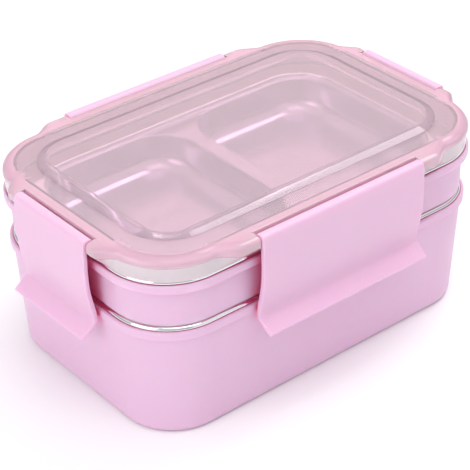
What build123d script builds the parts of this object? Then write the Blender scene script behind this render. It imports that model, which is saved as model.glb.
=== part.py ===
"""Two-tier bento lunch box: two plastic shells, two steel trays, a lid with four latches and two seals.

Frame: millimetres, +X along the long side, +Z up, origin at the middle of the underside.
Every rounded-rectangle outline turns about the same four corner centres, at (core_x, core_y) and its
mirror images, so one number, the reach, gives an outline: its corner radius, and how far its sides
stand outside the lines through those centres.
"""

import os
from dataclasses import dataclass
from math import atan2, cos, degrees, hypot, radians, sin, tan

from build123d import *

# Outline that every tier shares
core_x, core_y = 70.5, 35.9

# Plastic shells
wall, floor = 2.0, 2.2
base_reach, lower_wall_reach, lower_band_reach = 26.75, 29.95, 31.45
lower_band_low, lower_band_high = 54.4, 58.5
upper_low, upper_base_reach, upper_wall_reach, upper_band_reach = 61.0, 29.2, 29.6, 32.4
upper_band_low, upper_band_high = 79.3, 83.5
base_round, band_round, edge_round = 4.0, 0.9, 0.5
spigot_reach, spigot_wall, spigot_depth = 25.9, 1.5, 3.6

# Steel trays: pressed sheet with a rolled bead round the rim
sheet, bead_cut = 0.7, 0.2
lower_bead, lower_bead_reach, lower_bead_z = 1.7, 28.0, 58.6
upper_bead, upper_bead_reach, upper_bead_z = 1.6, 29.4, 83.9
lower_tray_low, lower_tray_round = 3.2, 9.0
flange_z = 83.6
recess_x, recess_y, recess_corner, recess_depth = 85.6, 51.6, 21.5, 2.2
well_x, well_y, divider, well_corner = 84.0, 49.8, 8.6, 20.0
well_floor, well_round, well_draft, press_round = 64.4, 8.0, 6.0, 0.75

# Clearances between a tray's bead and the shell that carries it
seat_gap, bead_gap = 0.2, 0.25

# Silicone seals
seal_gap, tier_groove = 0.1, 1.1
tier_seal_in, tier_seal_out, tier_seal_low = 26.35, 28.2, 60.4
lid_seal_in, lid_seal_out, lid_seal_low = 26.85, 29.35, 85.65

# Lid
lid_low, lid_high, lid_plate = 85.1, 96.4, 2.2
skirt_reach, skirt_wall, brim_reach, brim_low = 31.2, 1.7, 31.9, 92.2
lip_wall, lip_height = 0.5, 0.9
plug_reach, plug_wall, plug_low = 26.7, 1.5, 84.4
panel_x, panel_y, panel_corner, panel_rise = 84.2, 49.6, 19.0, 1.6
brim_round, panel_round = 1.6, 1.0

# Lid ears, which hold the latches
ear_reach, ear_low, ear_round, ear_root = 37.1, 90.6, 1.0, 4.0
front_ear_flat, side_ear_flat, front_ear_turn, side_ear_turn = 8.5, 5.0, 2.0, 9.0

# Latches: reach and height of points on the outer face, the lip and the catch
front_half, side_half, latch_play = 48.3, 26.6, 0.4
hinge_reach, hinge_z, knuckle = 35.1, 93.9, 2.7
pin, pin_length, pin_play, pin_end = 1.3, 4.6, 0.07, 0.5
latch_wall = 2.3
face_points = [(37.8, 93.4), (38.5, 85.0), (38.3, 74.0), (36.7, 62.5), (35.4, 55.6)]
lip_root, lip_tip, lip_wall_thick, lip_bend = (35.35, 53.0), (43.1, 47.7), 2.0, 2.5
catch_reach, catch_low, catch_high = 30.75, 52.5, 54.2
lip_corner, latch_edge = 2.0, 0.7

# Length that a cutter runs past the face that it opens, and tolerance for picking edges
clear, tiny = 1.0, 0.01


@dataclass(frozen=True)
class Side:
    """One side of the box. Seen from above, x runs along it and y is the reach."""

    name: str
    outward: Vector
    across: float
    along: float
    latch_half: float
    ear_flat: float
    ear_turn: float

    def level(self, height):
        """Horizontal plane at one height, with y pointing outwards."""
        origin = self.outward * self.across + Vector(0, 0, height)
        return Plane(origin, x_dir=self.outward.cross(Vector(0, 0, 1)), z_dir=(0, 0, 1))

    def profile(self):
        """Upright plane through the middle of the side, with x as the reach and y as the height."""
        along = self.outward.cross(Vector(0, 0, 1))
        return Plane(self.outward * self.across, x_dir=self.outward, z_dir=along)


sides = [
    Side("front", Vector(0, -1, 0), core_y, core_x, front_half, front_ear_flat, front_ear_turn),
    Side("back", Vector(0, 1, 0), core_y, core_x, front_half, front_ear_flat, front_ear_turn),
    Side("left", Vector(-1, 0, 0), core_x, core_y, side_half, side_ear_flat, side_ear_turn),
    Side("right", Vector(1, 0, 0), core_x, core_y, side_half, side_ear_flat, side_ear_turn),
]


def reach_of(point):
    """Distance of a point from the core rectangle, seen from above."""
    return hypot(max(abs(point.X) - core_x, 0), max(abs(point.Y) - core_y, 0))


def at_height(part, height):
    """Edges of a part that lie at one height."""
    return part.edges().filter_by_position(Axis.Z, height - tiny, height + tiny)


def loop(part, height, reach):
    """Edges of a part that lie on one outline at one height."""
    level = at_height(part, height)
    return level.filter_by(lambda edge: abs(reach_of(edge @ 0.5) - reach) < 2 * tiny)


def in_recess(edge):
    """Whether an edge lies on the upper tray's recess outline, not on the flange's."""
    middle = edge @ 0.5
    return abs(middle.X) < recess_x + tiny and abs(middle.Y) < recess_y + tiny


def outline(reach, mode=Mode.ADD):
    """Draws the shared outline at a reach."""
    RectangleRounded(2 * (core_x + reach), 2 * (core_y + reach), reach, mode=mode)


def slab(low, high, reach, draft=0.0, mode=Mode.ADD):
    """Adds or cuts a block of the shared outline, which narrows downwards by its draft."""
    with BuildSketch(Plane.XY.offset(high)) as top:
        outline(reach)
    extrude(top.sketch, amount=low - high, taper=draft, mode=mode)


def panel(low, high, half_x, half_y, corner, centre_x=0.0, draft=0.0, mode=Mode.ADD):
    """Adds or cuts a block with an outline of its own, which narrows downwards by its draft."""
    with BuildSketch(Plane.XY.offset(high)) as top:
        with Locations((centre_x, 0)):
            RectangleRounded(2 * half_x, 2 * half_y, corner)
    extrude(top.sketch, amount=low - high, taper=draft, mode=mode)


def bead(reach, height, radius):
    """Adds a rolled bead that follows the shared outline."""
    with BuildSketch(Plane.XY.offset(height)) as route:
        outline(reach)
    start = Plane((0, -core_y - reach, height), x_dir=(0, 1, 0), z_dir=(1, 0, 0))
    with BuildSketch(start) as section:
        Circle(radius)
    sweep(section.sketch, path=route.sketch.face().outer_wire())


def tub(low, high, reach, draft, rounding):
    """Tapered block with a rounded foot: the outside or the inside of the lower tray."""
    with BuildPart() as block:
        slab(low, high, reach, draft)
        fillet(at_height(block, low), rounding)
    return block.part


def wells(low, high, grow):
    """Two tapered blocks with rounded feet: the outside or the inside of the upper tray's wells."""
    half = (well_x - divider / 2) / 2
    with BuildPart() as blocks:
        for hand in (-1, 1):
            panel(low, high, half + grow, well_y + grow, well_corner + grow,
                  hand * (well_x - half), well_draft)
        fillet(at_height(blocks, low), well_round + grow)
    return blocks.part


def ear(side, hand):
    """Adds one lid ear: flat beside the latch, then blended into the brim's corner."""
    inner = side.latch_half + latch_play
    turn = radians(side.ear_turn)
    corner = Vector(sin(turn), cos(turn))
    blend = Vector(side.along, 0) + corner * brim_reach
    root = Vector(side.along, 0) + corner * (brim_reach - ear_root)
    with BuildSketch(side.level(ear_low)) as plan:
        with BuildLine():
            start = (hand * (inner + side.ear_flat), ear_reach)
            Polyline(start, (hand * inner, ear_reach), (hand * inner, brim_reach - ear_root),
                     (hand * root.X, root.Y), (hand * blend.X, blend.Y))
            Spline(start, (hand * blend.X, blend.Y),
                   tangents=[(hand, 0), (hand * cos(turn), -sin(turn))])
        make_face()
        outer_corner = plan.vertices().sort_by_distance((hand * inner, ear_reach, 0))[0]
        fillet(outer_corner, ear_round)
    extrude(plan.sketch, amount=lid_high - ear_low)


def sockets(side):
    """Cuts the two blind holes that take a latch's pins."""
    with BuildSketch(side.profile()) as hole:
        with Locations((hinge_reach, hinge_z)):
            Circle(pin + pin_play)
    extrude(hole.sketch, amount=side.latch_half + pin_length + pin_end, both=True, mode=Mode.SUBTRACT)


def latch(side):
    """One latch: knuckle with two pins, bowed face, catch and finger lip."""
    slope = (Vector(*lip_tip) - Vector(*lip_root)).normalized()
    under_tip = Vector(*lip_tip) + slope.rotate(Axis.Z, -90) * lip_wall_thick
    inner_reach = face_points[-1][0] - latch_wall
    under_root = under_tip - slope * ((under_tip.X - inner_reach - 1) / slope.X)
    back_points = [(reach - latch_wall, height) for reach, height in reversed(face_points)]
    with BuildPart() as block:
        with BuildSketch(side.profile()) as section:
            with BuildLine():
                Spline(*face_points, tangents=[(0.1, -1), (0, -1)])
                Polyline(face_points[-1], lip_root, lip_tip, (under_tip.X, under_tip.Y),
                         (under_root.X, under_root.Y), (catch_reach, catch_low),
                         (catch_reach, catch_high), (inner_reach, catch_high), back_points[0])
                Spline(*back_points, tangents=[(0, 1), (-0.1, 1)])
                Line(back_points[-1], face_points[0])
            make_face()
            fillet(section.vertices().sort_by_distance((*lip_root, 0))[0], lip_bend)
            with Locations((hinge_reach, hinge_z)):
                Circle(knuckle)
        extrude(amount=side.latch_half, both=True)
        tip = side.profile().from_local_coords((Vector(*lip_tip) + under_tip) / 2)
        corners = block.faces().sort_by_distance(tip)[0].edges().sort_by(SortBy.LENGTH)[:2]
        fillet(corners, lip_corner)
        ends = block.faces().filter_by(Axis((0, 0, 0), tuple(side.profile().z_dir)))
        ends = ends.sort_by_distance(side.profile().origin).sort_by(SortBy.AREA)[-2:]
        fillet(ends.edges(), latch_edge)
        with BuildSketch(side.profile()) as pins:
            with Locations((hinge_reach, hinge_z)):
                Circle(pin)
        extrude(pins.sketch, amount=side.latch_half + pin_length, both=True)
    block.part.label = f"{side.name}_latch"
    return block


def draft_between(low, low_reach, high, high_reach):
    """Draft angle of a wall that passes through two outlines."""
    return degrees(atan2(high_reach - low_reach, high - low))


# Lower shell: tapered tub, band round the top, ledge that carries the tray's bead
lower_draft = draft_between(0, base_reach, lower_band_low, lower_wall_reach)
lower_ledge = lower_bead_z - lower_bead - seat_gap
lower_lip = lower_bead_reach + lower_bead + bead_gap
with BuildPart() as lower_shell:
    slab(0, lower_band_low, lower_wall_reach, lower_draft)
    fillet(at_height(lower_shell, 0), base_round)
    slab(lower_band_low, lower_band_high, lower_band_reach)
    slab(floor, lower_ledge, lower_wall_reach - wall, lower_draft, Mode.SUBTRACT)
    slab(lower_ledge, lower_band_high, lower_lip, mode=Mode.SUBTRACT)
    fillet(at_height(lower_shell, floor), base_round - wall)
    fillet(loop(lower_shell, lower_band_high, lower_band_reach), band_round)
    fillet(loop(lower_shell, lower_band_low, lower_band_reach), edge_round)
lower_shell.part.label = "lower_shell"

# Lower tray: one deep well under a rolled bead
lower_tray_reach = lower_bead_reach - lower_bead + sheet + bead_cut
above_bead = lower_bead_z + lower_bead + clear
mouth_reach = lower_tray_reach - sheet + (above_bead - lower_bead_z) * tan(radians(lower_draft))
lower_tray_outside = tub(lower_tray_low, lower_bead_z, lower_tray_reach, lower_draft, lower_tray_round)
lower_tray_inside = tub(lower_tray_low + sheet, above_bead, mouth_reach, lower_draft,
                        lower_tray_round - sheet)
with BuildPart() as lower_tray:
    add(lower_tray_outside)
    bead(lower_bead_reach, lower_bead_z, lower_bead)
    add(lower_tray_inside, mode=Mode.SUBTRACT)
lower_tray.part.label = "lower_tray"

# Tier seal: flat silicone ring between the upper shell and the lower tray's bead
with BuildPart() as tier_seal:
    slab(tier_seal_low, upper_low + tier_groove - seal_gap, tier_seal_out)
    slab(tier_seal_low, upper_low + tier_groove - seal_gap, tier_seal_in, mode=Mode.SUBTRACT)
tier_seal.part.label = "tier_seal"

# Upper shell: shallow tub whose base covers the lower tray, with a spigot and a seal groove below
upper_draft = draft_between(upper_low, upper_base_reach, upper_band_low, upper_wall_reach)
upper_ledge = upper_bead_z - upper_bead - seat_gap
upper_lip = upper_bead_reach + upper_bead + bead_gap
with BuildPart() as upper_shell:
    slab(upper_low, upper_band_low, upper_wall_reach, upper_draft)
    fillet(at_height(upper_shell, upper_low), edge_round)
    slab(upper_band_low, upper_band_high, upper_band_reach)
    slab(upper_low + floor, upper_ledge, upper_wall_reach - wall, upper_draft, Mode.SUBTRACT)
    slab(upper_ledge, upper_band_high, upper_lip, mode=Mode.SUBTRACT)
    slab(upper_low - spigot_depth, upper_low, spigot_reach)
    slab(upper_low - spigot_depth, upper_low, spigot_reach - spigot_wall, mode=Mode.SUBTRACT)
    with BuildSketch(Plane.XY.offset(upper_low)) as groove:
        outline(tier_seal_out + seal_gap)
        outline(tier_seal_in - seal_gap, Mode.SUBTRACT)
    extrude(groove.sketch, amount=tier_groove, mode=Mode.SUBTRACT)
    fillet(loop(upper_shell, upper_band_high, upper_band_reach), band_round)
    fillet(loop(upper_shell, upper_band_low, upper_band_reach), edge_round)
upper_shell.part.label = "upper_shell"

# Upper tray: flange inside a rolled bead, shallow recess, and two wells either side of a divider
recess_z = flange_z - recess_depth
wells_outside = wells(well_floor - sheet, recess_z - sheet, sheet)
wells_inside = wells(well_floor, recess_z, 0)
with BuildPart() as upper_tray:
    slab(flange_z - sheet, flange_z, upper_bead_reach - upper_bead + sheet)
    panel(recess_z - sheet, flange_z - sheet, recess_x + sheet, recess_y + sheet,
          recess_corner + sheet)
    add(wells_outside)
    bead(upper_bead_reach, upper_bead_z, upper_bead)
    panel(recess_z, flange_z, recess_x, recess_y, recess_corner, mode=Mode.SUBTRACT)
    fillet(at_height(upper_tray, flange_z).filter_by(in_recess), press_round)
    add(wells_inside, mode=Mode.SUBTRACT)
    fillet(at_height(upper_tray, recess_z), press_round)
upper_tray.part.label = "upper_tray"

# Lid seal: silicone ring that fills the channel between the lid's skirt and plug
lid_ceiling = lid_high - lid_plate
with BuildPart() as lid_seal:
    slab(lid_seal_low, lid_ceiling - seal_gap, lid_seal_out)
    slab(lid_seal_low, lid_ceiling - seal_gap, lid_seal_in, mode=Mode.SUBTRACT)
    fillet(at_height(lid_seal, lid_seal_low), edge_round)
lid_seal.part.label = "lid_seal"

# Lid: plate with a raised panel, skirt outside the bead, plug inside it, and eight ears
with BuildPart() as lid:
    slab(lid_low, brim_low, skirt_reach)
    slab(brim_low, lid_high, brim_reach)
    for side in sides:
        for hand in (-1, 1):
            ear(side, hand)
    fillet(at_height(lid, lid_high), brim_round)
    panel(lid_high, lid_high + panel_rise, panel_x, panel_y, panel_corner)
    fillet(at_height(lid, lid_high + panel_rise), panel_round)
    slab(lid_low, lid_ceiling, skirt_reach - skirt_wall, mode=Mode.SUBTRACT)
    slab(lid_low, lid_low + lip_height, skirt_reach - lip_wall, mode=Mode.SUBTRACT)
    slab(plug_low, lid_ceiling, plug_reach)
    slab(plug_low, lid_ceiling, plug_reach - plug_wall, mode=Mode.SUBTRACT)
    panel(lid_ceiling, lid_ceiling + panel_rise, panel_x - lid_plate, panel_y - lid_plate,
          panel_corner - lid_plate, mode=Mode.SUBTRACT)
    for side in sides:
        sockets(side)
lid.part.label = "lid"

# Latches
latches = [latch(side) for side in sides]

os.makedirs("parts", exist_ok=True)
for piece in (lower_shell, lower_tray, tier_seal, upper_shell, upper_tray, lid_seal, lid, *latches):
    export_step(piece.part, f"parts/{piece.part.label}.step")
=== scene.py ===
"""Looks of a two-tier bento lunch box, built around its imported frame.

The shells, trays and seals keep their CAD shape and get moulded, pressed and rubber finishes. The lid
and the four latches are modelled here and stand for their CAD nodes. Lengths are metres, +X is the
long side and +Z is up. As in the frame, a reach is how far an outline stands outside the lines
through the four corner centres, and it is also the outline's corner radius.
"""

import logging
import math
from collections.abc import Callable
from dataclasses import dataclass
from enum import Enum

import bmesh
import bpy
from mathutils import Matrix, Vector


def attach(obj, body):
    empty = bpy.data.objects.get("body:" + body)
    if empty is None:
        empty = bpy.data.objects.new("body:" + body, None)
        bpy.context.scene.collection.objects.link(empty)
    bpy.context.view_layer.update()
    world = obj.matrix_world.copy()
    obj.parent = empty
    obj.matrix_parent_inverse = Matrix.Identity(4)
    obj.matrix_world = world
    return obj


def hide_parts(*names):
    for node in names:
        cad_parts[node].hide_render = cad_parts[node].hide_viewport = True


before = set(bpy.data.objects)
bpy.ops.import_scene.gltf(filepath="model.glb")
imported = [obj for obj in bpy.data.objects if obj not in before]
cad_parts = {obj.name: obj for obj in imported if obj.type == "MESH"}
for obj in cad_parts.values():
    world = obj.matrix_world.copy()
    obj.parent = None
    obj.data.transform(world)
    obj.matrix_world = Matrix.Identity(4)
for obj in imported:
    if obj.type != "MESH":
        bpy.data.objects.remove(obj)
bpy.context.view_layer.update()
LOG = logging.getLogger("lunch_box")
MM = 0.001
TINY = 0.02 * MM
MERGE = TINY / 4
SMOOTH_ANGLE = math.radians(34)

# Sockets of a Mix node, which share their names: two values, or two colours and the colour it gives
VALUE_A, VALUE_B = 2, 3
COLOUR_A, COLOUR_B, COLOUR_OUT = 6, 7, 2

Colour = tuple[float, float, float]


# ------------------------------------------------------------------ work on the bench


def clear_selection() -> None:
    """Leaves edit mode and deselects every object."""
    if bpy.context.object is not None and bpy.context.object.mode != "OBJECT":
        bpy.ops.object.mode_set(mode="OBJECT")
    bpy.ops.object.select_all(action="DESELECT")


def spread(x: float, y: float, core: Vector) -> float:
    """Reach of a place seen from above.

    Args:
        x: Place along the long side.
        y: Place along the short side.
        core: Place of the corner centres.

    Returns:
        The reach of the outline that passes through the place.
    """
    return math.hypot(max(abs(x) - core.x, 0), max(abs(y) - core.y, 0))


class Workpiece:
    """One mesh on the bench, shaped by Blender's own operators."""

    def __init__(self, name: str) -> None:
        """Takes the primitive that was just added.

        Args:
            name: Name of the piece.
        """
        self.body = bpy.context.object
        self.body.name = name
        self.body.data.name = name

    @classmethod
    def block(cls, name: str, low: Vector, high: Vector) -> "Workpiece":
        """Adds a block between two corners."""
        clear_selection()
        bpy.ops.mesh.primitive_cube_add(size=1, location=(low + high) / 2)
        bpy.context.object.scale = high - low
        bpy.ops.object.transform_apply(location=True, rotation=True, scale=True)
        return cls(name)

    @classmethod
    def rod(cls, name: str, centre: Vector, radius: float, half: float, sides: int = 40) -> "Workpiece":
        """Adds a rod that lies along X."""
        clear_selection()
        bpy.ops.mesh.primitive_cylinder_add(
            vertices=sides, radius=radius, depth=2 * half, location=centre, rotation=(0, math.pi / 2, 0)
        )
        bpy.ops.object.transform_apply(location=True, rotation=True, scale=True)
        return cls(name)

    @classmethod
    def bar(cls, name: str, section: list[tuple[Vector, Vector]], half: float) -> "Workpiece":
        """Adds a bar along X, drawn as a strip across its section and then drawn out.

        Args:
            name: Name of the piece.
            section: Pairs of points on the two sides of the strip, end to end.
            half: Half its length.

        Returns:
            The closed bar.
        """
        clear_selection()
        bpy.ops.mesh.primitive_plane_add(size=1, location=(0, 0, 0))
        bar, end = cls(name), Vector((-half, 0, 0))
        bar.sculpt(lambda corner: section[int(corner.y > 0)][int(corner.x > 0)] + end)
        last = section[1]
        bar.pick("VERT", lambda v: any((v.co - point - end).length < TINY for point in last))
        bpy.ops.mesh.select_mode(type="EDGE")
        for here, there in zip(section[1:], section[2:]):
            bpy.ops.mesh.extrude_region_move(TRANSFORM_OT_translate={"value": (0, 0, 0)})
            mesh = bmesh.from_edit_mesh(bar.body.data)
            for vertex in (v for v in mesh.verts if v.select):
                is_inner = (vertex.co - here[1] - end).length < TINY
                vertex.co = there[int(is_inner)] + end
            bmesh.update_edit_mesh(bar.body.data)
        bpy.ops.mesh.select_mode(type="FACE")
        bpy.ops.mesh.select_all(action="SELECT")
        bpy.ops.mesh.extrude_region_move(TRANSFORM_OT_translate={"value": (2 * half, 0, 0)})
        bpy.ops.mesh.select_all(action="SELECT")
        bpy.ops.mesh.normals_make_consistent(inside=False)
        bar.done()
        return bar

    def edit(self, mode: str = "FACE") -> None:
        """Opens the piece in edit mode with nothing selected."""
        if self.body.mode != "EDIT":
            clear_selection()
            self.body.select_set(True)
            bpy.context.view_layer.objects.active = self.body
            bpy.ops.object.mode_set(mode="EDIT")
        bpy.ops.mesh.select_mode(type=mode)
        bpy.ops.mesh.select_all(action="DESELECT")

    def pick(self, mode: str, test: Callable[..., bool]) -> None:
        """Selects faces, edges or vertices in edit mode.

        Args:
            mode: FACE, EDGE or VERT.
            test: Says whether one of them is wanted.
        """
        self.edit(mode)
        mesh = bmesh.from_edit_mesh(self.body.data)
        kinds = {"FACE": mesh.faces, "EDGE": mesh.edges, "VERT": mesh.verts}
        wanted = [item for item in kinds[mode] if test(item)]
        for item in wanted:
            item.select_set(True)
        mesh.select_flush_mode()
        bmesh.update_edit_mesh(self.body.data)

    def done(self) -> None:
        """Leaves edit mode."""
        clear_selection()

    def round_corners(self, radius: float, steps: int) -> None:
        """Rounds the upright edges of a block."""
        self.pick("EDGE", lambda e: (e.verts[0].co - e.verts[1].co).xy.length < TINY)
        bpy.ops.mesh.bevel(offset=radius, segments=steps, affect="EDGES")

    def cap(self, top: bool) -> None:
        """Selects the flat face at the very top or bottom."""
        self.edit("FACE")
        mesh = bmesh.from_edit_mesh(self.body.data)
        face = (max if top else min)(mesh.faces, key=lambda f: (f.calc_center_median().z, f.calc_area()))
        face.select_set(True)
        bmesh.update_edit_mesh(self.body.data)

    def follow(self, steps: list[tuple[float, float]]) -> None:
        """Carries the selected face along a section, step by step.

        Args:
            steps: How far each step goes inwards, and along the face's normal.
        """
        for inwards, onwards in steps:
            if inwards > 0:
                bpy.ops.mesh.inset(thickness=inwards, depth=onwards, use_even_offset=True)
            else:
                mesh = bmesh.from_edit_mesh(self.body.data)
                normal = next(f for f in mesh.faces if f.select).normal * onwards
                bpy.ops.mesh.extrude_region_move(TRANSFORM_OT_translate={"value": normal})

    def slice(self, places: list[float], normal: Vector) -> None:
        """Adds a line of edges across the whole piece at each place along a direction."""
        for place in places:
            self.edit("FACE")
            bpy.ops.mesh.select_all(action="SELECT")
            bpy.ops.mesh.bisect(plane_co=normal * place, plane_no=normal)

    def sculpt(self, move: Callable[[Vector], Vector]) -> None:
        """Moves every vertex by a smooth rule that gives its new place."""
        self.done()
        for vertex in self.body.data.vertices:
            vertex.co = move(vertex.co.copy())

    def modify(self, kind: str, **settings) -> None:
        """Adds a modifier with its settings and applies it."""
        clear_selection()
        bpy.context.view_layer.objects.active = self.body
        modifier = self.body.modifiers.new(kind.title(), kind)
        for key, value in settings.items():
            setattr(modifier, key, value)
        bpy.ops.object.modifier_apply(modifier=modifier.name)

    def combine(self, other: "Workpiece", operation: str) -> None:
        """Joins, cuts or keeps the overlap with another closed piece, which is used up."""
        other.done()
        self.modify("BOOLEAN", object=other.body, operation=operation, solver="EXACT")
        bpy.data.objects.remove(other.body, do_unlink=True)

    def place(self, turn: float, shift: Vector) -> None:
        """Turns the mesh about Z and moves it, and leaves the object at the origin."""
        clear_selection()
        self.body.select_set(True)
        bpy.context.view_layer.objects.active = self.body
        self.body.rotation_euler = (0, 0, turn)
        self.body.location = shift
        bpy.ops.object.transform_apply(location=True, rotation=True, scale=True)

    def finish(self, body: str, replaced: str, slot: str, material: bpy.types.Material) -> None:
        """Closes the mesh, smooths it and puts it in the frame.

        Args:
            body: The frame's body that it rides on.
            replaced: The node that it stands for.
            slot: The record's material slot; not used.
            material: Its finish.
        """
        self.edit("VERT")
        bpy.ops.mesh.select_all(action="SELECT")
        bpy.ops.mesh.remove_doubles(threshold=MERGE)
        bpy.ops.mesh.normals_make_consistent(inside=False)
        self.done()
        self.body.select_set(True)
        bpy.context.view_layer.objects.active = self.body
        bpy.ops.object.shade_smooth_by_angle(angle=SMOOTH_ANGLE)
        self.body.data.materials.clear()
        self.body.data.materials.append(material)
        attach(self.body, body)
        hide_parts(replaced)
        LOG.info("%s: %d faces", self.body.name, len(self.body.data.polygons))

    def dress(self, extra: list[bpy.types.Material], zone: Callable[[bpy.types.MeshPolygon], int]) -> None:
        """Adds finishes and gives each face the one of its zone.

        Args:
            extra: Finishes besides the first.
            zone: Number of a face's finish, where 0 is the first.
        """
        for material in extra:
            self.body.data.materials.append(material)
        for face in self.body.data.polygons:
            face.material_index = zone(face)


# ------------------------------------------------------------------ finishes


def add_node(
    tree: bpy.types.NodeTree, kind: str, inputs: dict[str | int, object] | None = None, **settings
) -> bpy.types.Node:
    """Adds a shader node and fills its sockets.

    Args:
        tree: Tree that takes the node.
        kind: Node type without its ShaderNode prefix.
        inputs: Constants or sockets to link, by input name or number.
        **settings: Properties of the node itself.

    Returns:
        The new node.
    """
    node = tree.nodes.new(f"ShaderNode{kind}")
    for key, value in settings.items():
        setattr(node, key, value)
    for key, value in (inputs or {}).items():
        if isinstance(value, bpy.types.NodeSocket):
            tree.links.new(value, node.inputs[key])
        else:
            node.inputs[key].default_value = value
    return node


class GroupMaker:
    """Builds one shader node group with named sockets."""

    def __init__(self, name: str) -> None:
        """Opens an empty group."""
        self.tree = bpy.data.node_groups.new(name, "ShaderNodeTree")
        self.inside = self.tree.nodes.new("NodeGroupInput")
        self.outside = self.tree.nodes.new("NodeGroupOutput")

    def take(self, name: str, kind: str, default: float | tuple[float, ...]) -> bpy.types.NodeSocket:
        """Adds an input and returns the socket that carries it inside."""
        socket = self.tree.interface.new_socket(name, in_out="INPUT", socket_type=f"NodeSocket{kind}")
        socket.default_value = default
        return self.inside.outputs[name]

    def give(self, name: str, kind: str, source: bpy.types.NodeSocket) -> None:
        """Adds an output fed by a socket inside."""
        self.tree.interface.new_socket(name, in_out="OUTPUT", socket_type=f"NodeSocket{kind}")
        self.tree.links.new(source, self.outside.inputs[name])

    def add(self, kind: str, inputs: dict[str | int, object] | None = None, **settings) -> bpy.types.Node:
        """Adds a node inside the group."""
        return add_node(self.tree, kind, inputs, **settings)

    def noise(self, size: bpy.types.NodeSocket, detail: float, stretch: Colour = (1, 1, 1)) -> bpy.types.Node:
        """Adds noise whose grains have a size in metres, drawn out along the stretched axes."""
        place = self.add("TexCoord").outputs["Object"]
        drawn = self.add("VectorMath", {0: place, 1: tuple(1 / s for s in stretch)}, operation="MULTIPLY")
        scale = self.add("Math", {0: 1.0, 1: size}, operation="DIVIDE")
        return self.add("TexNoise", {"Vector": drawn.outputs[0], "Scale": scale.outputs[0], "Detail": detail})


class Effects:
    """Shader groups shared by the finishes."""

    def __init__(self) -> None:
        """Builds every group once."""
        self.grain = self._grain()
        self.handling = self._handling()
        self.painted_edge_highlight = self._painted_edge_highlight()
        self.brushing = self._brushing()
        self.painted_gap_shade = self._painted_gap_shade()

    @staticmethod
    def _grain() -> bpy.types.NodeTree:
        """Fine tool texture of a moulded face."""
        maker = GroupMaker("moulded_grain")
        size = maker.take("Size", "Float", 0.0007)
        depth = maker.take("Depth", "Float", 0.00002)
        height = maker.noise(size, 2.0).outputs["Fac"]
        bump = maker.add("Bump", {"Height": height, "Distance": depth, "Strength": 1.0})
        maker.give("Normal", "Vector", bump.outputs["Normal"])
        return maker.tree

    @staticmethod
    def _handling() -> bpy.types.NodeTree:
        """Roughness that drifts a little where a face has been handled and wiped."""
        maker = GroupMaker("handling")
        roughness = maker.take("Roughness", "Float", 0.4)
        drift = maker.take("Drift", "Float", 0.05)
        size = maker.take("Size", "Float", 0.03)
        cloud = maker.noise(size, 3.0).outputs["Fac"]
        low = maker.add("Math", {0: roughness, 1: drift}, operation="SUBTRACT").outputs[0]
        high = maker.add("Math", {0: roughness, 1: drift}, operation="ADD").outputs[0]
        span = maker.add("MapRange", {
            "Value": cloud, "From Min": 0.3, "From Max": 0.7, "To Min": low, "To Max": high,
        })
        maker.give("Roughness", "Float", span.outputs[0])
        return maker.tree

    @staticmethod
    def _painted_edge_highlight() -> bpy.types.NodeTree:
        """Painted highlight: colour that pales towards a highlight tone on convex edges, where pointiness is
        high.
        """
        maker = GroupMaker("painted_edge_highlight")
        colour = maker.take("Color", "Color", (0.8, 0.8, 0.8, 1))
        # Tone of the painted highlight on convex edges
        highlight_tone = maker.take("Edge Highlight Color", "Color", (1, 1, 1, 1))
        amount = maker.take("Amount", "Float", 0.5)
        point = maker.add("NewGeometry").outputs["Pointiness"]
        mask = maker.add("MapRange", {"Value": point, "From Min": 0.52, "From Max": 0.58, "To Max": amount})
        blend = {"Factor": mask.outputs[0], COLOUR_A: colour, COLOUR_B: highlight_tone}
        mix = maker.add("Mix", blend, data_type="RGBA")
        maker.give("Color", "Color", mix.outputs[COLOUR_OUT])
        return maker.tree

    @staticmethod
    def _brushing() -> bpy.types.NodeTree:
        """Fine parallel drawing lines between two tones; the steel gives them a lilac that is a painted
        reflection of the pink lid and shells.
        """
        maker = GroupMaker("brushing")
        size = maker.take("Size", "Float", 0.0006)
        dark = maker.take("Dark", "Color", (0.6, 0.6, 0.6, 1))
        light = maker.take("Light", "Color", (0.8, 0.8, 0.8, 1))
        lines = maker.noise(size, 1.0, (40, 1, 1)).outputs["Fac"]
        mix = maker.add("Mix", {"Factor": lines, COLOUR_A: dark, COLOUR_B: light}, data_type="RGBA")
        maker.give("Color", "Color", mix.outputs[COLOUR_OUT])
        return maker.tree

    @staticmethod
    def _painted_gap_shade() -> bpy.types.NodeTree:
        """Painted shade and glow: colour that deepens to a saturated pink in narrow gaps found by ambient
        occlusion, standing in for light that reaches there only through the plastic.
        """
        maker = GroupMaker("painted_gap_shade_tint")
        colour = maker.take("Color", "Color", (0.8, 0.8, 0.8, 1))
        # Tone of the painted shade and glow in narrow gaps
        gap_shade_tone = maker.take("Gap Shade Color", "Color", (0.8, 0.2, 0.4, 1))
        reach = maker.take("Reach", "Float", 0.01)
        floor = maker.take("Floor", "Float", 0.03)
        gap = maker.add("AmbientOcclusion", {"Distance": reach}, samples=8)
        shade = maker.add("MapRange", {"Value": gap.outputs["AO"], "From Min": 0.62, "From Max": 0.15})
        height = maker.add("SeparateXYZ", {0: maker.add("TexCoord").outputs["Object"]}).outputs["Z"]
        above = maker.add("Math", {0: height, 1: floor}, operation="GREATER_THAN")
        mask = maker.add("Math", {0: shade.outputs[0], 1: above.outputs[0]}, operation="MULTIPLY")
        blend = {"Factor": mask.outputs[0], COLOUR_A: colour, COLOUR_B: gap_shade_tone}
        mix = maker.add("Mix", blend, data_type="RGBA")
        maker.give("Color", "Color", mix.outputs[COLOUR_OUT])
        return maker.tree


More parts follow.
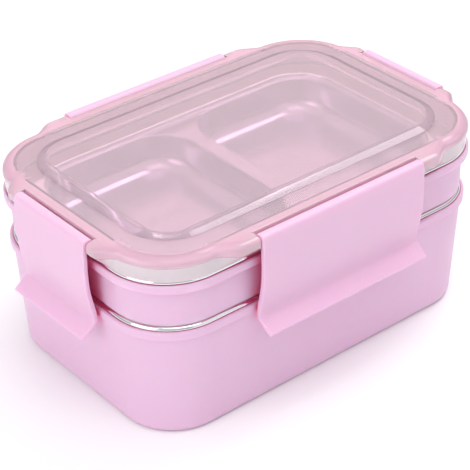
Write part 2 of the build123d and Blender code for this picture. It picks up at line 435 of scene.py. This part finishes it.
class Finish:
    """Base of every finish: a material with one Principled node."""

    @staticmethod
    def start(name: str) -> tuple[bpy.types.Material, bpy.types.NodeTree, bpy.types.Node]:
        """Makes a material and returns it with its tree and its Principled node."""
        material = bpy.data.materials.new(name)
        material.use_nodes = True
        tree = material.node_tree
        return material, tree, tree.nodes["Principled BSDF"]

    @staticmethod
    def use(tree: bpy.types.NodeTree, group: bpy.types.NodeTree, inputs: dict[str, object]) -> bpy.types.Node:
        """Adds a shared effect to a material."""
        node = tree.nodes.new("ShaderNodeGroup")
        node.node_tree = group
        for key, value in inputs.items():
            node.inputs[key].default_value = value
        return node


@dataclass(frozen=True)
class MouldedPlastic(Finish):
    """Opaque polypropylene with a fine matte face."""

    name: str
    colour: Colour
    # The edge colour below is a painted highlight on convex edges; the next colour is a painted shade and
    # pink glow in narrow gaps.
    edge_highlight_colour: Colour = (0.95, 0.68, 0.86)
    gap_shade_colour: Colour = (0.95, 0.17, 0.38)
    roughness: float = 0.42
    scatter: float = 0.35

    def build(self, effects: Effects) -> bpy.types.Material:
        """Builds the material from the shared effects."""
        material, tree, shader = self.start(self.name)
        # Painted highlight on convex edges
        edge_highlight_node = self.use(tree, effects.painted_edge_highlight, {
            "Color": (*self.colour, 1), "Edge Highlight Color": (*self.edge_highlight_colour, 1), "Amount": 0.5,
        })
        wiped = self.use(tree, effects.handling, {"Roughness": self.roughness, "Drift": 0.04, "Size": 0.025})
        grain = self.use(tree, effects.grain, {"Size": 0.0008, "Depth": 0.000015})
        # Painted shade and pink glow in narrow gaps, by ambient occlusion
        gap = self.use(tree, effects.painted_gap_shade, {"Gap Shade Color": (*self.gap_shade_colour, 1), "Reach": 0.012})
        tree.links.new(edge_highlight_node.outputs["Color"], gap.inputs["Color"])
        tree.links.new(gap.outputs["Color"], shader.inputs["Base Color"])
        tree.links.new(wiped.outputs["Roughness"], shader.inputs["Roughness"])
        tree.links.new(grain.outputs["Normal"], shader.inputs["Normal"])
        shader.inputs["IOR"].default_value = 1.49
        shader.inputs["Subsurface Weight"].default_value = self.scatter
        shader.inputs["Subsurface Radius"].default_value = (0.006, 0.0018, 0.0035)
        shader.inputs["Subsurface Scale"].default_value = 1.0
        return material


@dataclass(frozen=True)
class ClearPlastic(Finish):
    """Pale, slightly milky plastic that shows the tray below."""

    name: str
    colour: Colour
    # The edge colour is a painted highlight on the lid's convex edges.
    edge_highlight_colour: Colour = (1.0, 0.86, 0.9)
    roughness: float = 0.045
    clarity: float = 0.76

    def build(self, effects: Effects) -> bpy.types.Material:
        """Builds the material from the shared effects."""
        material, tree, shader = self.start(self.name)
        # Painted highlight on convex edges
        edge_highlight_node = self.use(tree, effects.painted_edge_highlight, {
            "Color": (*self.colour, 1), "Edge Highlight Color": (*self.edge_highlight_colour, 1), "Amount": 0.6,
        })
        wiped = self.use(tree, effects.handling, {"Roughness": self.roughness, "Drift": 0.03, "Size": 0.03})
        tree.links.new(edge_highlight_node.outputs["Color"], shader.inputs["Base Color"])
        tree.links.new(wiped.outputs["Roughness"], shader.inputs["Roughness"])
        shader.inputs["IOR"].default_value = 1.45
        shader.inputs["Metallic"].default_value = 0.0
        shader.inputs["Transmission Weight"].default_value = self.clarity
        return material


@dataclass(frozen=True)
class PressedSteel(Finish):
    """Stainless sheet: drawn inside, with a polished rolled rim. The drawn inside's lilac tone is a painted
    reflection of the pink lid and shells; the rim keeps a neutral grey.
    """

    name: str
    rim_low: float
    rim_blend: float = 0.4 * MM
    # Lilac tones of the drawn steel: a painted reflection of the pink lid and shells
    dark: Colour = (0.46, 0.40, 0.52)
    light: Colour = (0.60, 0.53, 0.65)
    bright: Colour = (0.82, 0.82, 0.83)
    satin: float = 0.17
    polished: float = 0.09

    def build(self, effects: Effects) -> bpy.types.Material:
        """Builds the material from the shared effects."""
        material, tree, shader = self.start(self.name)
        drawn = self.use(tree, effects.brushing, {
            "Size": 0.0005, "Dark": (*self.dark, 1), "Light": (*self.light, 1),
        })
        wiped = self.use(tree, effects.handling, {"Roughness": self.satin, "Drift": 0.04, "Size": 0.02})
        height = add_node(tree, "SeparateXYZ", {0: add_node(tree, "TexCoord").outputs["Object"]}).outputs["Z"]
        low, high = self.rim_low - self.rim_blend, self.rim_low + self.rim_blend
        rim = add_node(tree, "MapRange", {"Value": height, "From Min": low, "From Max": high}).outputs[0]
        blend = add_node(tree, "Mix", {
            "Factor": rim, VALUE_A: wiped.outputs["Roughness"], VALUE_B: self.polished,
        })
        tone = add_node(tree, "Mix", {
            "Factor": rim, COLOUR_A: drawn.outputs["Color"], COLOUR_B: (*self.bright, 1),
        }, data_type="RGBA")
        tree.links.new(tone.outputs[COLOUR_OUT], shader.inputs["Base Color"])
        tree.links.new(blend.outputs[0], shader.inputs["Roughness"])
        shader.inputs["Metallic"].default_value = 1.0
        return material


@dataclass(frozen=True)
class Silicone(Finish):
    """Soft white rubber of the two seals."""

    name: str
    colour: Colour
    roughness: float = 0.55

    def build(self, effects: Effects) -> bpy.types.Material:
        """Builds the material from the shared effects."""
        material, tree, shader = self.start(self.name)
        wiped = self.use(tree, effects.handling, {"Roughness": self.roughness, "Drift": 0.05, "Size": 0.01})
        grain = self.use(tree, effects.grain, {"Size": 0.0005, "Depth": 0.00001})
        tree.links.new(wiped.outputs["Roughness"], shader.inputs["Roughness"])
        tree.links.new(grain.outputs["Normal"], shader.inputs["Normal"])
        shader.inputs["Base Color"].default_value = (*self.colour, 1)
        return material


# ------------------------------------------------------------------ the lid


@dataclass(frozen=True)
class Outline:
    """Corner centres that every tier's outline turns about."""

    x: float = 70.5 * MM
    y: float = 35.9 * MM

    @property
    def core(self) -> Vector:
        """The corner centre as a vector."""
        return Vector((self.x, self.y, 0))


class Side(Enum):
    """One side of the box: its turn about Z from the front, in quarter turns."""

    FRONT = 0
    RIGHT = 1
    BACK = 2
    LEFT = 3

    @property
    def title(self) -> str:
        """The side's name as the frame spells it."""
        return self.name.lower()

    @property
    def turn(self) -> float:
        """Turn about Z from the front, in radians."""
        return self.value * math.pi / 2

    @property
    def is_long(self) -> bool:
        """Whether the side runs along X."""
        return self in (Side.FRONT, Side.BACK)

    def across(self, core: Vector) -> float:
        """Distance from the box's middle to this side's corner centres."""
        return core.y if self.is_long else core.x

    def shift(self, core: Vector) -> Vector:
        """Move that takes a piece made at the origin to this side."""
        return Matrix.Rotation(self.turn, 3, "Z") @ Vector((0, -self.across(core), 0))


@dataclass(frozen=True)
class LatchFit:
    """What a latch and the lid's ears agree on."""

    half_long: float = 48.3 * MM
    half_short: float = 26.6 * MM
    play: float = 0.4 * MM
    hinge_reach: float = 35.1 * MM
    hinge_z: float = 93.9 * MM
    pin: float = 1.3 * MM
    pin_play: float = 0.07 * MM
    pin_length: float = 4.6 * MM

    def half(self, side: Side) -> float:
        """Half the latch's width on a side."""
        return self.half_long if side.is_long else self.half_short


@dataclass
class Lid:
    """Translucent lid: plate, raised panel, shoulder, skirt, seal channel and eight ears."""

    outline: Outline
    fit: LatchFit
    corner_steps: int = 30
    brim_reach: float = 31.9 * MM
    brim_low: float = 92.4 * MM
    brim_high: float = 92.9 * MM
    plate_top: float = 96.4 * MM
    shoulder: float = 5.4 * MM
    shoulder_steps: int = 7
    skirt_reach: float = 31.2 * MM
    skirt_low: float = 85.1 * MM
    lip: float = 0.5 * MM
    lip_rise: float = 0.9 * MM
    skirt_wall: float = 1.7 * MM
    ceiling: float = 94.2 * MM
    plug_reach: float = 26.7 * MM
    plug_wall: float = 1.5 * MM
    plug_low: float = 84.4 * MM
    panel_half: Vector = Vector((88.6, 54.0, 0)) * MM
    panel_corner: float = 23.4 * MM
    panel_rise: float = 1.6 * MM
    panel_step: float = 0.3 * MM
    panel_slope: tuple[tuple[float, float], ...] = (
        (0.5 * MM, 0.12), (3.2 * MM, 0.8), (0.5 * MM, 0.07), (0.6 * MM, 0.01),
    )
    hollow_reach: float = 11.0 * MM
    ear_reach: float = 37.1 * MM
    ear_drop: float = 1.4 * MM
    ear_root: float = 1.5 * MM
    ear_under: float = 1.2 * MM
    ear_lift: float = 0.35
    ear_steps: int = 9
    ear_ends_long: tuple[float, float] = (57.2 * MM, 70.5 * MM)
    ear_ends_short: tuple[float, float] = (31.6 * MM, 41.0 * MM)
    slot_inset: float = 0.2 * MM
    slot_past: float = 5 * MM
    slot_below: float = 2 * MM
    socket_past: float = 0.5 * MM
    rim_low: float = 90.6 * MM
    ridge: float = 0.5 * MM
    ridge_z: float = 96.1 * MM

    def build(self) -> Workpiece:
        """Models the lid.

        Returns:
            The finished mesh, not yet dressed.
        """
        lid = self._body()
        self._add_panel(lid)
        self._add_ears(lid)
        self._cut_slots(lid)
        self._cut_sockets(lid)
        self._add_ridges(lid)
        return lid

    def _body(self) -> Workpiece:
        """Brim, shoulder, skirt, channel and plug, carried out of one rounded block."""
        half = self.outline.core + Vector((self.brim_reach, self.brim_reach, 0))
        low = Vector((-half.x, -half.y, self.brim_low))
        lid = Workpiece.block("lid_shell", low, Vector((half.x, half.y, self.brim_high)))
        lid.round_corners(self.brim_reach, self.corner_steps)
        lid.cap(top=True)
        drop = self.plate_top - self.brim_high
        turns = [math.pi / 2 * n / self.shoulder_steps for n in range(self.shoulder_steps + 1)]
        lid.follow([
            (self.shoulder * (math.cos(a) - math.cos(b)), drop * (math.sin(b) - math.sin(a)))
            for a, b in zip(turns, turns[1:])
        ])
        lid.cap(top=False)
        under = self.brim_reach - self.skirt_reach
        channel = self.skirt_reach - self.skirt_wall - self.plug_reach
        lip_top = self.skirt_low + self.lip_rise
        lid.follow([
            (under, under), (0, self.brim_low - under - self.skirt_low), (self.lip, 0),
            (0, -self.lip_rise), (self.skirt_wall - self.lip, 0), (0, lip_top - self.ceiling),
            (channel, 0), (0, self.ceiling - self.plug_low), (self.plug_wall, 0),
            (0, self.plug_low - self.ceiling),
            (self.plug_reach - self.plug_wall - self.hollow_reach, 0), (0, -self.panel_rise),
        ])
        lid.done()
        return lid

    def _add_panel(self, lid: Workpiece) -> None:
        """Bridges the raised panel to the plate round it.

        The slope's steps are how far each goes inwards, and its share of the rise.
        """
        high = self.plate_top + self.panel_rise
        low = Vector((-self.panel_half.x, -self.panel_half.y, self.plate_top))
        step = Vector((0, 0, self.panel_step))
        panel = Workpiece.block("panel", low, Vector((*self.panel_half.xy, self.plate_top)) + step)
        panel.round_corners(self.panel_corner, self.corner_steps)
        panel.cap(top=True)
        rise = high - self.plate_top - step.z
        panel.follow([(inwards, rise * share) for inwards, share in self.panel_slope])
        for piece, top in ((panel, False), (lid, True)):
            piece.cap(top=top)
            bpy.ops.mesh.delete(type="ONLY_FACE")
            piece.done()
        lid.body.select_set(True)
        panel.body.select_set(True)
        bpy.context.view_layer.objects.active = lid.body
        bpy.ops.object.join()
        lid.pick("EDGE", lambda e: e.is_boundary)
        bpy.ops.mesh.bridge_edge_loops()
        lid.done()

    def zone(self, face: bpy.types.MeshPolygon) -> int:
        """Zone of a face: 0 is the plate, 1 the plug, the channel and the rim, and 2 the skirt."""
        reach = spread(*face.center.xy, self.outline.core)
        if reach < self.plug_reach - self.plug_wall - TINY:
            return 0
        is_outside = reach > self.skirt_reach - self.skirt_wall - TINY
        return 2 if is_outside and face.center.z < self.rim_low else 1

    def _swell(self, place: Vector) -> float:
        """How far a place on the rim belongs to an ear or the slot between two ears, from 0 to 1."""
        core = self.outline.core
        on_long = abs(place.y) - core.y > abs(place.x) - core.x
        along = abs(place.x) if on_long else abs(place.y)
        flat, end = self.ear_ends_long if on_long else self.ear_ends_short
        fade = min(max((along - flat) / (end - flat), 0), 1)
        return (1 + math.cos(math.pi * fade)) / 2

    def _add_ears(self, lid: Workpiece) -> None:
        """Adds edges where the ears bend and swells the rim outwards there."""
        sides = ((Vector((1, 0, 0)), self.ear_ends_long), (Vector((0, 1, 0)), self.ear_ends_short))
        for normal, (flat, end) in sides:
            places = [flat + (end - flat) * n / self.ear_steps for n in range(self.ear_steps + 1)]
            lid.slice([hand * place for place in places for hand in (-1, 1)], normal)
        core, grow = self.outline.core, self.ear_reach - self.brim_reach
        root = self.brim_reach - self.shoulder - self.ear_root

        def move(place: Vector) -> Vector:
            reach = spread(place.x, place.y, core)
            if place.z < self.brim_low - self.ear_under or reach < root:
                return place
            swell = self._swell(place)
            share = min((reach - root) / (self.skirt_reach - root), 1)
            share = share * share * (3 - 2 * share)
            centre = Vector((max(min(place.x, core.x), -core.x), max(min(place.y, core.y), -core.y), place.z))
            outward = (place - centre).normalized()
            under = self.ear_drop if place.z < self.brim_high - TINY else 0
            lift = (self.plate_top - place.z) * self.ear_lift * swell * share if not under else 0
            return place + outward * grow * swell * share + Vector((0, 0, lift - under * swell))

        lid.sculpt(move)

    def _cut_slots(self, lid: Workpiece) -> None:
        """Cuts the gap between each pair of ears, where a latch's knuckle turns."""
        for side in Side:
            half = self.fit.half(side) + self.fit.play
            near, far = self.brim_reach - self.slot_inset, self.ear_reach + self.slot_past
            low = Vector((-half, -far, self.skirt_low - self.slot_below))
            cutter = Workpiece.block("cutter", low, Vector((half, -near, self.plate_top + self.slot_past)))
            cutter.place(side.turn, side.shift(self.outline.core))
            lid.combine(cutter, "DIFFERENCE")

    def _cut_sockets(self, lid: Workpiece) -> None:
        """Drills the blind holes for the latches' pins."""
        for side in Side:
            centre = Vector((0, -self.fit.hinge_reach, self.fit.hinge_z))
            half = self.fit.half(side) + self.fit.pin_length + self.socket_past
            drill = Workpiece.rod("drill", centre, self.fit.pin + self.fit.pin_play, half)
            drill.place(side.turn, side.shift(self.outline.core))
            lid.combine(drill, "DIFFERENCE")

    def _add_ridges(self, lid: Workpiece) -> None:
        """Adds the thin ridge along the inner edge of each slot."""
        for side in Side:
            centre = Vector((0, self.slot_inset + self.ridge - self.brim_reach, self.ridge_z))
            ridge = Workpiece.rod("ridge", centre, self.ridge, self.fit.half(side) + 2 * self.fit.play)
            ridge.place(side.turn, side.shift(self.outline.core))
            lid.combine(ridge, "UNION")


# ------------------------------------------------------------------ the latches


@dataclass
class Latch:
    """One latch: a knuckle with two pins, a bowed face, a finger lip and a catch."""

    side: Side
    outline: Outline
    fit: LatchFit
    end_round: float = 0.55 * MM
    smoothing: int = 3
    pin_round: float = 0.3 * MM
    lip_start: float = 41.5 * MM
    lip_draw: float = 0.64 * MM
    catch_inset: float = 3.0 * MM
    catch_low: float = 52.6 * MM
    catch_high: float = 54.2 * MM
    catch_reach: float = 30.75 * MM
    catch_root: float = 34.2 * MM
    catch_round: float = 0.35 * MM

    def _section(self) -> list[tuple[Vector, Vector]]:
        """Pairs of outer and inner points from the knuckle to the tip, drawn on the front side.

        Returns:
            The pairs. A row below is the outer point's reach and height, then the inner point's.
        """
        rows = (
            (32.25, 93.4, 32.9, 91.9), (32.6, 95.5, 34.3, 91.2), (34.0, 96.55, 35.6, 91.0),
            (36.2, 96.55, 36.2, 90.6), (37.5, 96.2, 36.2, 89.9), (38.2, 95.2, 36.2, 89.0),
            (38.4, 92.5, 36.2, 87.6), (38.5, 88.5, 36.2, 85.8), (38.75, 82.0, 36.45, 80.5),
            (38.5, 73.5, 36.2, 73.0), (37.6, 66.5, 35.3, 66.8), (36.3, 61.0, 34.0, 61.6),
            (35.45, 57.0, 33.2, 57.3), (35.15, 54.4, 32.95, 53.6), (35.2, 53.2, 33.2, 51.9),
            (36.05, 52.4, 34.6, 50.8), (38.6, 50.6, 37.4, 48.95), (42.0, 48.25, 40.85, 46.6),
            (42.85, 47.65, 41.7, 46.0),
        )
        points = [[Vector((0, -row[n] * MM, row[n + 1] * MM)) for n in (0, 2)] for row in rows]
        return [(outer, inner) for outer, inner in points]

    def build(self) -> Workpiece:
        """Models the latch in place.

        Returns:
            The finished mesh, not yet dressed.
        """
        half = self.fit.half(self.side)
        latch = Workpiece.bar(f"{self.side.title}_latch_body", self._section(), half)
        ends = [half - self.end_round, half - 4 * self.end_round]
        latch.slice([hand * place for place in ends for hand in (-1, 1)], Vector((1, 0, 0)))
        latch.sculpt(lambda place: self._round_lip(place, half))
        latch.modify("SUBSURF", levels=self.smoothing, render_levels=self.smoothing)
        self._add_pins(latch, half)
        self._add_catch(latch, half)
        latch.place(self.side.turn, self.side.shift(self.outline.core))
        return latch

    def _round_lip(self, place: Vector, half: float) -> Vector:
        """Draws the lip's two outer corners in."""
        if abs(place.x) < half - TINY or place.y > -self.lip_start:
            return place
        return place + Vector((-math.copysign(self.lip_draw, place.x), 0, 0))

    def _add_pins(self, latch: Workpiece, half: float) -> None:
        """Adds the two moulded pins."""
        centre = Vector((0, -self.fit.hinge_reach, self.fit.hinge_z))
        pins = Workpiece.rod("pins", centre, self.fit.pin, half + self.fit.pin_length)
        pins.pick("EDGE", lambda e: abs(e.verts[0].co.x - e.verts[1].co.x) < TINY)
        bpy.ops.mesh.bevel(offset=self.pin_round, segments=2, affect="EDGES")
        pins.done()
        latch.combine(pins, "UNION")

    def _add_catch(self, latch: Workpiece, half: float) -> None:
        """Adds the catch that hooks under the lower band."""
        width = half - self.catch_inset
        low = Vector((-width, -self.catch_root, self.catch_low))
        catch = Workpiece.block("catch", low, Vector((width, -self.catch_reach, self.catch_high)))
        catch.pick("EDGE", lambda e: all(v.co.y > -self.catch_reach - TINY for v in e.verts))
        bpy.ops.mesh.bevel(offset=self.catch_round, segments=2, affect="EDGES")
        catch.done()
        latch.combine(catch, "UNION")


# ------------------------------------------------------------------ the stack and the studio


@dataclass
class Stack:
    """Shells, trays and seals: they keep their CAD shape and are dressed here."""

    finishes: dict[str, bpy.types.Material]

    def build(self) -> None:
        """Gives every CAD piece of the stack its finish."""
        for name, material in self.finishes.items():
            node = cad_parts[name]
            node.data.materials.clear()
            node.data.materials.append(material)
            LOG.info("%s: dressed with %s", name, material.name)


@dataclass
class Lamp:
    """One soft box that faces a place."""

    name: str
    place: Vector
    aim: Vector
    size: float
    power: float
    colour: Colour = (1, 1, 1)

    def build(self) -> None:
        """Hangs the lamp."""
        clear_selection()
        turn = (self.aim - self.place).to_track_quat("-Z", "Y").to_euler()
        bpy.ops.object.light_add(type="AREA", location=self.place, rotation=turn)
        lamp = bpy.context.object
        lamp.name = self.name
        lamp.data.size = self.size
        lamp.data.energy = self.power
        lamp.data.color = self.colour


@dataclass
class Studio:
    """Pale floor, soft light and the camera."""

    yaw: float = math.radians(-39.28)
    pitch: float = math.radians(32.64)
    roll: float = math.radians(-1.02)
    target: Vector = Vector((0, 0, 42.26)) * MM
    distance: float = 0.847
    lens: float = 134.0
    shift: tuple[float, float] = (-0.0127, -0.0015)
    sky_colour: Colour = (0.95, 0.96, 1.0)
    sky_low: float = 0.32
    sky_high: float = 0.84
    horizon: tuple[float, float] = (0.1, 0.55)
    floor_colour: Colour = (0.95, 0.95, 0.95)
    floor_size: float = 8.0
    floor_roughness: float = 0.9
    clip_start: float = 0.01

    def build(self) -> None:
        """Lays the floor, hangs the lamps and sets the camera up."""
        self._add_floor()
        self._add_sky()
        aim, warm = Vector((0, 0, 0.05)), (1.0, 0.82, 0.7)
        for lamp in (
            Lamp("left_lamp", Vector((-1.1, -0.15, 0.55)), aim, 0.8, 4.6),
            Lamp("top_lamp", Vector((-0.1, -0.45, 1.3)), aim, 0.9, 4.0),
            Lamp("right_lamp", Vector((0.78, 0.1, 1.19)), aim, 0.6, 5.2),
            Lamp("front_lamp", Vector((0.3, -1.3, 0.45)), aim, 0.9, 1.0),
            Lamp("back_lamp", Vector((0.75, 0.91, 0.75)), aim, 0.9, 2.1, warm),
        ):
            lamp.build()
        self._add_camera()
        bpy.context.scene.view_settings.view_transform = "Standard"
        LOG.info("studio: floor, five lamps and the camera")

    def _add_floor(self) -> None:
        """Lays the pale floor."""
        clear_selection()
        bpy.ops.mesh.primitive_plane_add(size=self.floor_size)
        floor = bpy.context.object
        floor.name = "studio_floor"
        material = bpy.data.materials.new("studio_paper")
        material.use_nodes = True
        shader = material.node_tree.nodes["Principled BSDF"]
        shader.inputs["Base Color"].default_value = (*self.floor_colour, 1)
        shader.inputs["Roughness"].default_value = self.floor_roughness
        floor.data.materials.append(material)

    def _add_sky(self) -> None:
        """Lights the room from all round, brighter above than near the horizon."""
        world = bpy.data.worlds.new("studio_sky")
        world.use_nodes = True
        tree = world.node_tree
        aim = add_node(tree, "SeparateXYZ", {0: add_node(tree, "TexCoord").outputs["Generated"]})
        rise = add_node(tree, "MapRange", {
            "Value": aim.outputs["Z"], "From Min": self.horizon[0], "From Max": self.horizon[1],
            "To Min": self.sky_low, "To Max": self.sky_high,
        })
        tree.links.new(rise.outputs[0], tree.nodes["Background"].inputs["Strength"])
        tree.nodes["Background"].inputs["Color"].default_value = (*self.sky_colour, 1)
        bpy.context.scene.world = world

    def _add_camera(self) -> None:
        """Sets the camera up on a three-quarter view from the front left."""
        side = Vector((math.cos(self.yaw), math.sin(self.yaw), 0))
        away = Vector((side.y * math.cos(self.pitch), -side.x * math.cos(self.pitch), math.sin(self.pitch)))
        level = Matrix((side, away.cross(side), away)).transposed()
        camera = bpy.data.objects.new("studio_camera", bpy.data.cameras.new("studio_camera"))
        camera.matrix_world = (level @ Matrix.Rotation(self.roll, 3, "Z")).to_4x4()
        camera.location = self.target + away * self.distance
        camera.data.lens = self.lens
        camera.data.clip_start = self.clip_start
        camera.data.shift_x, camera.data.shift_y = self.shift
        bpy.context.scene.collection.objects.link(camera)
        bpy.context.scene.camera = camera


def main() -> None:
    """Builds the lunch box and its studio, in order."""
    logging.basicConfig(level=logging.INFO, format="%(message)s")
    outline, fit, effects = Outline(), LatchFit(), Effects()
    shell = MouldedPlastic("pink_plastic", (0.775, 0.495, 0.67)).build(effects)
    arm = MouldedPlastic("pink_latch_plastic", (0.79, 0.505, 0.675), roughness=0.38).build(effects)
    clear = ClearPlastic("clear_pink_plastic", (1.0, 0.81, 0.89)).build(effects)
    milky = ClearPlastic("milky_pink_plastic", (1.0, 0.66, 0.79), roughness=0.09, clarity=0.52).build(effects)
    # Near-white colour on the skirt: a painted reflection of the white surroundings, on the lid's own pink
    # plastic
    skirt = ClearPlastic("skirt_plastic_painted_reflection", (1.0, 0.92, 0.95), roughness=0.12, clarity=0.5).build(effects)
    rubber = Silicone("white_silicone", (0.86, 0.84, 0.84)).build(effects)
    Stack({
        "lower_shell": shell,
        "lower_tray": PressedSteel("lower_tray_steel", rim_low=56.0 * MM).build(effects),
        "tier_seal": rubber,
        "upper_shell": shell,
        "upper_tray": PressedSteel("upper_tray_steel", rim_low=81.8 * MM).build(effects),
        "lid_seal": rubber,
    }).build()
    model = Lid(outline, fit)
    lid = model.build()
    lid.finish("lid", "lid", "lid", clear)
    lid.dress([milky, skirt], model.zone)
    for side in Side:
        latch = Latch(side, outline, fit).build()
        latch.finish(f"{side.title}_latch", f"{side.title}_latch", "latch", arm)
    Studio().build()


if __name__ == "__main__":
    main()
